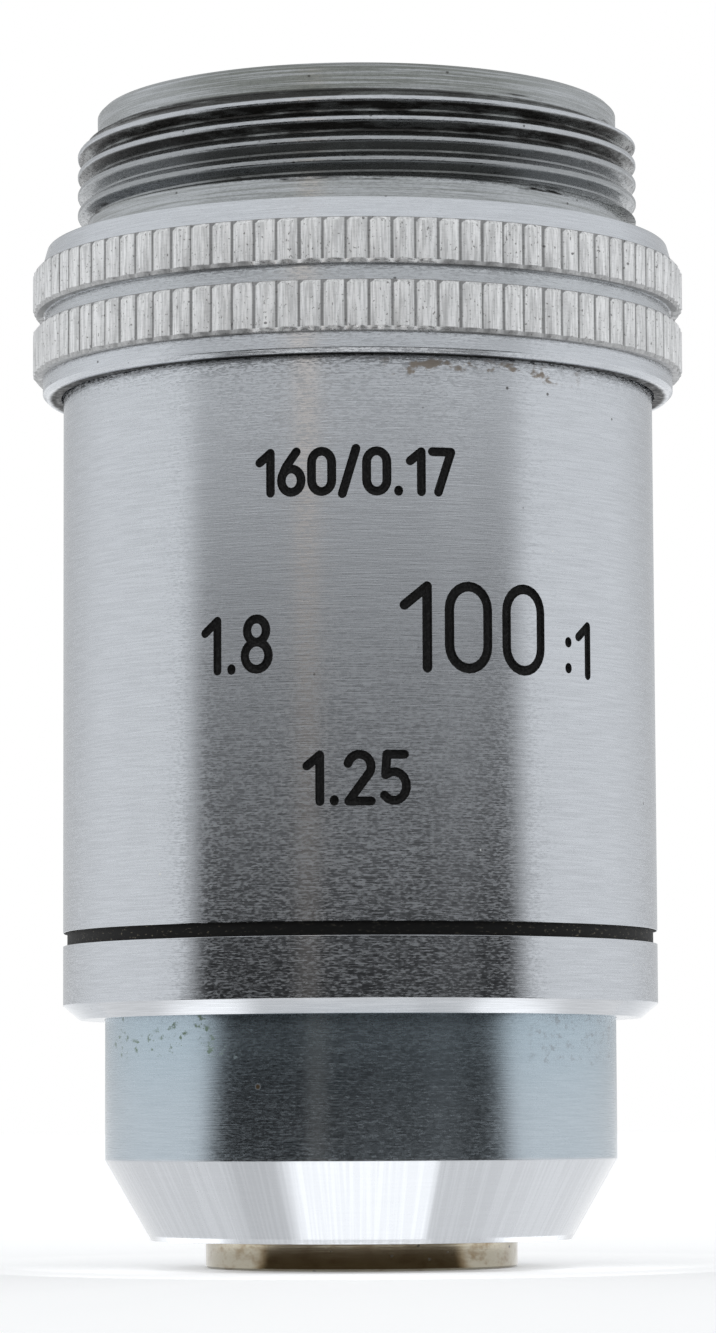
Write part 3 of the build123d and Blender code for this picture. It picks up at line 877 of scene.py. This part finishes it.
class OBJECTIVE_OT_mount(bpy.types.Operator):
    """Turn, knurl and thread the mount"""

    bl_idname = "objective.mount"
    bl_label = "Mount"

    def execute(self, context):
        sizes = context.scene.objective_mount
        colours = context.scene.objective_finish
        heights = mount_heights(sizes)
        chrome = mount_chrome(colours, sizes, heights)
        blank = new_piece("mount_ring", mount_blank(sizes, heights), [chrome])
        cut(blank, new_piece("thread_cutter", thread_cutter(sizes), [chrome]))
        bm = bmesh.new()
        bm.from_mesh(blank.data)
        bands = (("lower_knurl", "groove"), ("upper_knurl", "knurl_top"))
        for seed, (low, high) in enumerate(bands):
            add_knurl(bm, sizes, heights[low], heights[high], heights["groove_r"], seed)
        bpy.data.objects.remove(blank)
        mount = new_piece("mount_ring", bm, [chrome])
        dress(mount, "mount", "mount_flange")
        return {"FINISHED"}


def arc(x, y, across, up, start, end, steps=12):
    """Points of an elliptical arc between two angles in degrees."""
    turns = [math.radians(start + (end - start) * step / steps) for step in range(steps + 1)]
    return [(x + across * math.cos(turn), y + up * math.sin(turn)) for turn in turns]


def loop(x, y, across, up):
    """Points of a closed ellipse, without its last point."""
    return arc(x, y, across, up, 0, 360, 24)[:-1]


# Figures one unit high: width, then strokes in two layers that are cut one after the other
GLYPHS = {
    "0": (0.5, [arc(0.25, 0.72, 0.25, 0.28, 0, 180) + arc(0.25, 0.28, 0.25, 0.28, 180, 360)], []),
    "1": (0.3, [[(0.28, 0.99), (0.28, 0.0)]], [[(0.0, 0.76), (0.27, 0.98)]]),
    "2": (0.5, [arc(0.25, 0.74, 0.25, 0.26, 165, -35) + [(0.02, 0.0)]], [[(0.02, 0.0), (0.5, 0.0)]]),
    "5": (
        0.5,
        [[(0.46, 1.0), (0.08, 1.0)], arc(0.23, 0.32, 0.27, 0.31, 125, -140)],
        [[(0.08, 1.0), (0.05, 0.56)]],
    ),
    "6": (0.5, [loop(0.25, 0.29, 0.25, 0.29)], [[(0.38, 1.0), (0.12, 0.64), (0.02, 0.42), (0.0, 0.3)]]),
    "7": (0.48, [[(0.0, 1.0), (0.48, 1.0)]], [[(0.48, 1.0), (0.15, 0.0)]]),
    "8": (0.5, [loop(0.25, 0.27, 0.25, 0.27)], [loop(0.25, 0.77, 0.2, 0.23)]),
    "/": (0.34, [[(0.0, -0.06), (0.34, 1.06)]], []),
    ".": (0.06, [[(0.03, 0.0), (0.03, 0.03)]], []),
    ":": (0.06, [[(0.03, 0.1), (0.03, 0.13)], [(0.03, 0.62), (0.03, 0.65)]], []),
}
GLYPH_GAP = 0.26
# A stroke with more points than this is a closed loop
LOOP_POINTS = 20
# Angles in radians at which the round end of a stroke is drawn
CAP_TURNS = (0.5, 0.95, 1.3, 1.5)
# Figures: text, size of its height, its middle in millimetres right of the front, size of its foot,
# weight of its strokes
FIGURES = (
    ("160/0.17", "tube_height", -0.1, "tube_base", 1.0),
    ("1.8", "focus_height", -4.3, "power_base", 1.0),
    ("100", "power_height", 4.1, "power_base", 1.1),
    (":1", "focus_height", 8.4, "power_base", 1.0),
    ("1.25", "cone_height", -0.1, "cone_base", 1.0),
)


def figure_strokes(text, height, middle, base, layer):
    """Strokes of a line of figures on the unrolled sleeve, and whether each is a closed loop."""
    widths = [GLYPHS[letter][0] for letter in text]
    left = middle - height * (sum(widths) + GLYPH_GAP * (len(text) - 1)) / 2
    strokes = []
    for letter, width in zip(text, widths):
        for stroke in GLYPHS[letter][layer]:
            points = [(left + height * x, base + height * y) for x, y in stroke]
            strokes.append((points, len(stroke) > LOOP_POINTS))
        left += height * (width + GLYPH_GAP)
    return strokes


def rounded_ends(points, radius):
    """Points of an open stroke with a share of its width at each, which rounds both its ends."""
    shares = [(point, 1.0) for point in points]
    for place, neighbour in ((0, 1), (-1, -2)):
        end, inner = Vector(points[place]), Vector(points[neighbour])
        out = (end - inner).normalized() * radius
        cap = [(tuple(end + out * math.sin(turn)), math.cos(turn)) for turn in CAP_TURNS]
        shares = cap[::-1] + shares if place == 0 else shares + cap
    return shares


def stroke_cutter(strokes, radius, material):
    """Strokes as round tubes, wrapped on a cylinder so that half of each lies in its wall."""
    curve = bpy.data.curves.new("strokes", "CURVE")
    curve.dimensions = "3D"
    curve.bevel_depth = 1.0
    curve.bevel_resolution = 2
    curve.use_fill_caps = True
    for points, closed, width in strokes:
        shares = [(point, 1.0) for point in points] if closed else rounded_ends(points, width / 2)
        spline = curve.splines.new("POLY")
        spline.points.add(len(shares) - 1)
        spline.use_cyclic_u = closed
        for point, ((x, y), part) in zip(spline.points, shares):
            point.co = (x, y, 0, 1)
            point.radius = part * width / 2
    holder = bpy.data.objects.new("strokes", curve)
    bm = bmesh.new()
    bm.from_mesh(bpy.data.meshes.new_from_object(holder))
    for vert in bm.verts:
        turn = vert.co.x / radius
        reach = radius + vert.co.z
        vert.co = (reach * math.sin(turn), -reach * math.cos(turn), vert.co.y)
    bmesh.ops.remove_doubles(bm, verts=bm.verts, dist=WELD)
    close_ends(bm)
    bpy.data.objects.remove(holder)
    return new_piece("stroke_cutter", bm, [material])


def sleeve_blank(sizes):
    """The sleeve before its figures are cut."""
    low, top, rim = SLEEVE_LOW.z, SLEEVE_HIGH.z, SLEEVE_HIGH.x
    groove_low = low + sizes.groove_height
    groove_high = groove_low + sizes.groove_width
    groove_r = rim - sizes.groove_depth
    seat = top - sizes.spigot_length
    spigot_r = rim - sizes.spigot_step
    bore_r = rim - sizes.wall
    guide_r = bore_r - sizes.guide_step
    stop = low + sizes.guide_land
    corners = (
        (guide_r, low),
        (rim - sizes.chamfer_width, low),
        (rim, low + sizes.chamfer_height),
        (rim, groove_low),
        (groove_r, groove_low),
        (groove_r, groove_high),
        (rim, groove_high),
        (rim, seat),
        (spigot_r, seat),
        (spigot_r, top),
        (bore_r, top),
        (bore_r, stop),
        (guide_r, stop),
    )
    bm = turned(corners, SLEEVE_STEPS, EDGE, wall_cuts=SLEEVE_CUTS)
    slack, inside, outside = 0.01 * MM, bore_r + 0.2 * MM, rim - 0.04 * MM
    for face in bm.faces:
        middle = face.calc_center_median()
        in_groove = groove_low - slack < middle.z < groove_high + slack
        if in_groove and inside < middle.xy.length < outside:
            face.material_index = 1
    return bm


class OBJECTIVE_OT_sleeve(bpy.types.Operator):
    """Turn the sleeve, paint its ring and engrave its figures"""

    bl_idname = "objective.sleeve"
    bl_label = "Sleeve"

    def execute(self, context):
        sizes = context.scene.objective_sleeve
        colours = context.scene.objective_finish
        paint = figure_paint(colours)
        finishes = [sleeve_chrome(colours, sizes), ring_paint(colours)]
        sleeve = new_piece("sleeve_shell", sleeve_blank(sizes), finishes)
        for layer in (1, 2):
            strokes = []
            for text, height, middle, foot, weight in FIGURES:
                place = getattr(sizes, height), middle * MM, getattr(sizes, foot)
                for points, closed in figure_strokes(text, *place, layer):
                    strokes.append((points, closed, sizes.stroke * weight))
            cut(sleeve, stroke_cutter(strokes, SLEEVE_HIGH.x, paint))
        smooth(sleeve, SMOOTH)
        dress(sleeve, "mount", "outer_sleeve")
        return {"FINISHED"}


class OBJECTIVE_OT_nose(bpy.types.Operator):
    """Turn the sprung nose"""

    bl_idname = "objective.nose"
    bl_label = "Nose"

    def execute(self, context):
        sizes = context.scene.objective_nose
        low, top, flange_r = NOSE_LOW.z, NOSE_HIGH.z, NOSE_HIGH.x
        nose_r = flange_r - sizes.flange_step
        face_r = nose_r - sizes.cone_height * math.tan(sizes.cone_angle)
        hole_r = TIP_HIGH.x - sizes.tip_step + sizes.tip_gap
        seat_r = TIP_HIGH.x + sizes.cell_gap
        seat = low + sizes.floor
        bore_r = nose_r - sizes.wall
        corners = (
            (hole_r, low),
            (face_r, low),
            (nose_r, low + sizes.cone_height),
            (nose_r, top - sizes.flange_height),
            (flange_r, top - sizes.flange_height),
            (flange_r, top),
            (bore_r, top),
            (bore_r, TIP_HIGH.z),
            (seat_r, TIP_HIGH.z),
            (seat_r, seat),
            (hole_r, seat),
        )
        chrome = nose_chrome(context.scene.objective_finish, sizes)
        nose = new_piece("nose_shell", turned(corners, NOSE_STEPS, EDGE), [chrome], SMOOTH_NOSE)
        dress(nose, "nose", "nose_barrel")
        return {"FINISHED"}


class OBJECTIVE_OT_tip(bpy.types.Operator):
    """Turn the front cell, whose tip meets the oil"""

    bl_idname = "objective.tip"
    bl_label = "Tip"

    def execute(self, context):
        sizes = context.scene.objective_nose
        low, top, flange_r = TIP_LOW.z, TIP_HIGH.z, TIP_HIGH.x
        tip_r = flange_r - sizes.tip_step
        flange = top - sizes.cell_flange
        corners = (
            (sizes.lens_hole, low),
            (tip_r, low),
            (tip_r, flange),
            (flange_r, flange),
            (flange_r, top),
            (sizes.cell_bore, top),
            (sizes.cell_bore, sizes.cell_ledge),
            (sizes.cell_bore - sizes.ledge_width, sizes.cell_ledge),
            (sizes.lens_hole, sizes.lens_seat),
        )
        nickel = tip_nickel(context.scene.objective_finish)
        cell = turned(corners, TIP_STEPS, sizes.tip_rounding, hold=False)
        tip = new_piece("tip_cell", cell, [nickel], SMOOTH_TIP)
        dress(tip, "nose", "front_cell")
        return {"FINISHED"}


class OBJECTIVE_OT_spring(bpy.types.Operator):
    """Wind the return spring, which shortens as the nose goes in"""

    bl_idname = "objective.spring"
    bl_label = "Spring"

    def execute(self, context):
        sizes = context.scene.objective_nose
        wire_r = sizes.wire / 2
        low, high = SPRING_LOW.z + wire_r, SPRING_HIGH.z - wire_r
        bm = bmesh.new()
        coil_r = SPRING_HIGH.x - wire_r
        stand = Matrix.Translation((coil_r, 0, low)) @ Matrix.Rotation(math.pi / 2, 4, "X")
        bmesh.ops.create_circle(bm, segments=WIRE_SIDES, radius=wire_r, matrix=stand)
        steps = COIL_STEPS * sizes.coils
        spin(bm, 2 * math.pi * sizes.coils, steps, (high - low) / steps)
        close_ends(bm)
        steel = turned_metal("spring steel", context.scene.objective_finish.steel, 0.3)
        spring = new_piece("coil_spring", bm, [steel], SMOOTH_WIRE)
        dress(spring, "mount", "return_spring")
        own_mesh(spring)
        return {"FINISHED"}


class OBJECTIVE_OT_inner_parts(bpy.types.Operator):
    """Give the inner parts their brass, black, steel and glass"""

    bl_idname = "objective.inner_parts"
    bl_label = "Inner parts"

    def execute(self, context):
        colours = context.scene.objective_finish
        black = blackened(colours)
        # Each finish by the last word of a node's name. All other inner parts are black
        finishes = {
            "bush": turned_metal("turned brass", colours.brass, 0.32),
            "screw": turned_metal("screw steel", colours.steel, 0.28),
            "crown": glass("crown glass", (0.98, 1.0, 0.99), 1.52),
            "flint": glass("flint glass", (1.0, 0.99, 0.95), 1.65),
            "fluorite": glass("fluorite", (0.97, 0.98, 1.0), 1.43),
        }
        finishes["lens"] = finishes["crown"]
        for name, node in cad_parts.items():
            if node.hide_render:
                continue
            node.data.materials.clear()
            node.data.materials.append(finishes.get(name.split("_")[-1], black))
        return {"FINISHED"}


# Loss of light from behind, and the degrees from the front over which it sets in
BACK_LOSS, BACK_TURNS = 0.35, (110, 160)
# Heights of the cards over the floor, and the gain of their bright front
CARD_HEIGHT, SCREEN_HEIGHT, FRONT_GAIN = 0.04 * MM, 0.02 * MM, 0.68
# Lower and upper edge of the cone's card, and how far it reaches round to each side
CONE_CARD_HEIGHTS, CONE_CARD_TURN = (1.1 * MM, 3.8 * MM), math.radians(85)
# Middle of the dark screen, spread of its foot and softness of its sides, in degrees
SCREEN_MIDDLE, SCREEN_SPREAD, SCREEN_SOFT = -1.25, 6, 13
# Width of the camera's sensor in millimetres, and the nearest distance that it sees
SENSOR_WIDTH, CLIP_START = 36.0, 10 * MM


def tent_light(settings):
    """Light of a white tent, less from behind the object, though the camera sees it evenly white."""
    world = bpy.context.scene.world or bpy.data.worlds.new("tent")
    bpy.context.scene.world = world
    world.use_nodes = True
    shader = Shader(world.node_tree)
    x, y, _ = shader.split(shader.node("ShaderNodeTexCoord", output="Generated"))
    turn = abs(x.maths("ARCTAN2", x, -1 * y)) * math.degrees(1)
    seen = shader.node("ShaderNodeLightPath", output="Is Camera Ray")
    tone = shader.scaled(tuple(settings.tent_tone), 1 - BACK_LOSS * turn.ramp(*BACK_TURNS))
    tone = shader.mix(seen, tone, WHITE)
    light = shader.node("ShaderNodeBackground", None, {"Color": tone})
    shader.node("ShaderNodeOutputWorld", None, {"Surface": light})


def pale_floor(settings):
    """Plain pale floor under the object."""
    bm = bmesh.new()
    bmesh.ops.create_grid(bm, x_segments=FLOOR_CELLS, y_segments=FLOOR_CELLS, size=settings.floor_size / 2)
    finish = Finish("pale floor")
    grain = finish.grain(3.0, 3.0, 2.0)
    base = finish.mix(grain, rgba(settings.floor_tone, 0.99), rgba(settings.floor_tone, 1.01))
    surface = finish.surface(
        Base_Color=base, Roughness=0.8, Emission_Color=WHITE, Emission_Strength=settings.floor_glow
    )
    new_piece("floor", bm, [surface])


def light_card(name, corners, half_turn, glow):
    """Card with (radius, height) corners that reaches round to each side of the front. It stands on the
    stage and is seen only in the metal."""
    bm = bmesh.new()
    join(bm, [bm.verts.new((0, -reach, height)) for reach, height in corners])
    bmesh.ops.rotate(bm, verts=bm.verts, matrix=Matrix.Rotation(-half_turn, 3, "Z"))
    spin(bm, 2 * half_turn, CARD_STEPS, closed=half_turn == math.pi)
    card = new_piece(name, bm, [glow])
    for ray in ("camera", "diffuse", "shadow", "transmission"):
        setattr(card, f"visible_{ray}", False)


def bounce_card(settings):
    """White card on the floor round the tip, which lights the chamfer, the collar and the teeth's ends."""
    finish = Finish("bounce card")
    radius, beside = finish.radius, abs(finish.turn)
    front = beside.ramp(23, 18)
    near = radius.ramp(14, 12.5) | beside.ramp(52, 64)
    foot = front * radius.ramp(8.3, 8.0)
    sides = beside.ramp(38, 54) * beside.ramp(112, 62) * (radius - beside * 0.055).ramp(7.7, 7.4)
    rim = front * radius.ramp(10.6, 10.9) | beside.ramp(62, 48) * radius.ramp(12.2, 12.8)
    rim = rim * radius.ramp(15.5, 14.8)
    level = 0.85 + 0.15 * near + foot * FRONT_GAIN + (sides * 1.05 | rim * 0.6)
    # Dim apron, which darkens the tip's front
    apron = radius.ramp(7.8, 7.5)
    flank = (beside - (radius - settings.card_inner / MM) * 5).ramp(37, 46)
    level = level * (1 - apron) + (0.085 + 0.9 * flank) * apron
    tone = finish.mix(apron * (1 - flank), WHITE, rgba(settings.apron_tone))
    corners = [(reach, CARD_HEIGHT) for reach in (settings.card_inner, settings.card_outer)]
    light_card("bounce_card", corners, math.pi, finish.glow(tone, level))


def cone_card(settings):
    """White card that stands close round the front of the nose's cone and lights the cone alone."""
    finish = Finish("cone card")
    turn = finish.turn
    front = turn.ramp(-19.5, -13.5) * turn.ramp(18.2, 15.4)
    level = 1 + front * FRONT_GAIN - turn.band(-28, -22, 6) * 0.15 + turn.ramp(26, 44) * 0.1
    corners = zip((settings.cone_card_low, settings.cone_card_high), CONE_CARD_HEIGHTS)
    light_card("cone_card", corners, CONE_CARD_TURN, finish.glow(WHITE[:3], level))


def lens_screen(settings):
    """Dark screen round the lens, seen only in the metal: black at its foot, pale at its top and sides."""
    far, foot, top = settings.screen_radius, settings.screen_foot, settings.screen_height
    finish = Finish("lens screen")
    turn, height = finish.turn, finish.z / (top / MM)
    edge = math.degrees(settings.screen_edge)
    spread = height.ramp(0.14, 0.09) * SCREEN_SPREAD
    side = (abs(turn - SCREEN_MIDDLE) - spread).ramp(edge, edge + SCREEN_SOFT)
    streak = turn.band(-20, -16, 4)
    lean = turn.ramp(-40, 30) * height.ramp(0.16, 0.08)
    level = 0.02 + 0.98 * height.ramp(0.12, 0.76)
    level = level + streak * 0.07 + turn.band(30, 38, 6) * 0.035 + lean * 0.04
    level = level * (1 - side) + side
    tone = finish.mix(streak * 0.5, rgba(settings.tent_tone), rgba(settings.streak_tone))
    corners = ((foot, SCREEN_HEIGHT), (far, SCREEN_HEIGHT), (far, top))
    light_card("lens_screen", corners, settings.screen_turn, finish.glow(tone, level))


def photo_camera(settings):
    """Camera close to the floor that looks slightly up at the object."""
    camera = bpy.data.cameras.new("camera")
    camera.sensor_width = SENSOR_WIDTH
    camera.lens = settings.lens_mm
    camera.clip_start = CLIP_START
    holder = bpy.data.objects.new("camera", camera)
    bpy.context.scene.collection.objects.link(holder)
    turn = Matrix.Rotation(math.pi / 2 + settings.tilt, 4, "X") @ Matrix.Rotation(settings.roll, 4, "Z")
    holder.matrix_world = Matrix.Translation((settings.aside, -settings.distance, settings.eye)) @ turn
    bpy.context.scene.camera = holder


class OBJECTIVE_OT_stage(bpy.types.Operator):
    """Set up the camera, the pale floor and the light"""

    bl_idname = "objective.stage"
    bl_label = "Stage"

    def execute(self, context):
        settings = context.scene.objective_stage
        photo_camera(settings)
        pale_floor(settings)
        tent_light(settings)
        lens_screen(settings)
        bounce_card(settings)
        cone_card(settings)
        context.scene.view_settings.view_transform = "Standard"
        return {"FINISHED"}


OPERATORS = (
    OBJECTIVE_OT_stage,
    OBJECTIVE_OT_mount,
    OBJECTIVE_OT_sleeve,
    OBJECTIVE_OT_nose,
    OBJECTIVE_OT_tip,
    OBJECTIVE_OT_spring,
    OBJECTIVE_OT_inner_parts,
)


class OBJECTIVE_PT_sidebar(bpy.types.Panel):
    """Lists the objective's pieces and sizes"""

    bl_label = "Objective"
    bl_space_type = "VIEW_3D"
    bl_region_type = "UI"
    bl_category = "Objective"

    def draw(self, context):
        for operator in OPERATORS:
            self.layout.operator(operator.bl_idname)
        for name, group in SETTINGS.items():
            box = self.layout.box()
            box.label(text=group.__doc__)
            for key in group.__annotations__:
                box.prop(getattr(context.scene, name), key)


CLASSES = (*SETTINGS.values(), *OPERATORS, OBJECTIVE_PT_sidebar)


def register():
    """Adds the settings, operators and panel."""
    for item in CLASSES:
        bpy.utils.register_class(item)
    for name, group in SETTINGS.items():
        setattr(bpy.types.Scene, name, bpy.props.PointerProperty(type=group))


def unregister():
    """Takes them away again."""
    for name in SETTINGS:
        delattr(bpy.types.Scene, name)
    for item in reversed(CLASSES):
        bpy.utils.unregister_class(item)


def main():
    """Builds every piece."""
    register()
    bpy.ops.objective.stage()
    bpy.ops.objective.mount()
    bpy.ops.objective.sleeve()
    bpy.ops.objective.nose()
    bpy.ops.objective.tip()
    bpy.ops.objective.spring()
    bpy.ops.objective.inner_parts()


if __name__ == "__main__":
    main()
